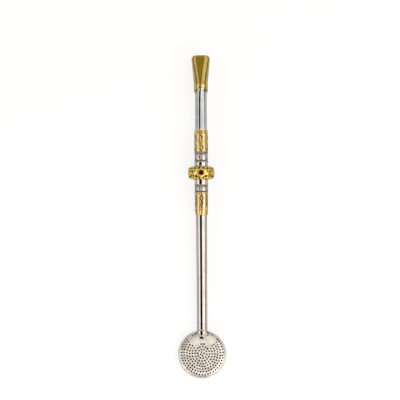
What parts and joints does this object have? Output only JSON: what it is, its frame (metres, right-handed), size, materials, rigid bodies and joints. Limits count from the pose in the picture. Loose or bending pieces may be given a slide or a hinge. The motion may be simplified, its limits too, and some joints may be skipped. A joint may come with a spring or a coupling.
{
  "type": "bombilla",
  "caption": "Metal straw for drinking mate: flattened gold mouthpiece, chased gold sleeves, barrel ring set with a red stone, and a round perforated strainer that unscrews.",
  "frame": {"origin": "centre of the strainer's flat back", "axes": "+Y along the stem towards the mouthpiece, +Z out of the strainer's front and the stone, +X to the right"},
  "size_m": [0.0296, 0.1994, 0.0172],
  "materials": {
    "polished_silver": "polished",
    "engraved_silver": "engraved, darkened in the cuts",
    "satin_silver": "satin",
    "polished_gold": "polished gold plate",
    "chased_gold": "chased gold plate, darkened in the hollows",
    "turned_brass": "turned",
    "red_stone": "faceted",
    "seal": "matte"
  },
  "bodies": {
    "stem": {"mouthpiece": "polished_gold", "upper_tube": "polished_silver", "upper_sleeve": "chased_gold", "upper_band_top_bead": "engraved_silver", "upper_band": "engraved_silver", "upper_band_bottom_bead": "engraved_silver", "upper_collar": "polished_silver", "ring_upper_half": "chased_gold", "ring_lower_half": "chased_gold", "tube_coupling": "turned_brass", "stone_setting": "chased_gold", "stone": "red_stone", "lower_collar": "polished_silver", "lower_band_top_bead": "engraved_silver", "lower_band": "engraved_silver", "lower_band_bottom_bead": "engraved_silver", "lower_sleeve": "chased_gold", "lower_tube": "polished_silver", "threaded_stub": "turned_brass"},
    "washer": {"neck_washer": "seal"},
    "strainer": {"neck_bush": "polished_silver", "front_strainer": "satin_silver", "back_strainer": "satin_silver", "rim_band": "satin_silver"}
  },
  "joints": [
    {"name": "strainer_draw", "type": "slide", "parent": "stem", "child": "washer", "axis": [0, -1, 0], "range_m": [0, 0.0045]},
    {"name": "strainer_turn", "type": "hinge", "parent": "washer", "child": "strainer", "pos_m": [0, 0.0149, 0.0037], "axis": [0, -1, 0], "range_deg": [0, 2160]}
  ],
  "couplings": [
    {"joint": "strainer_draw", "follows": "strainer_turn", "m_per_rad": 0.00011937}
  ]
}
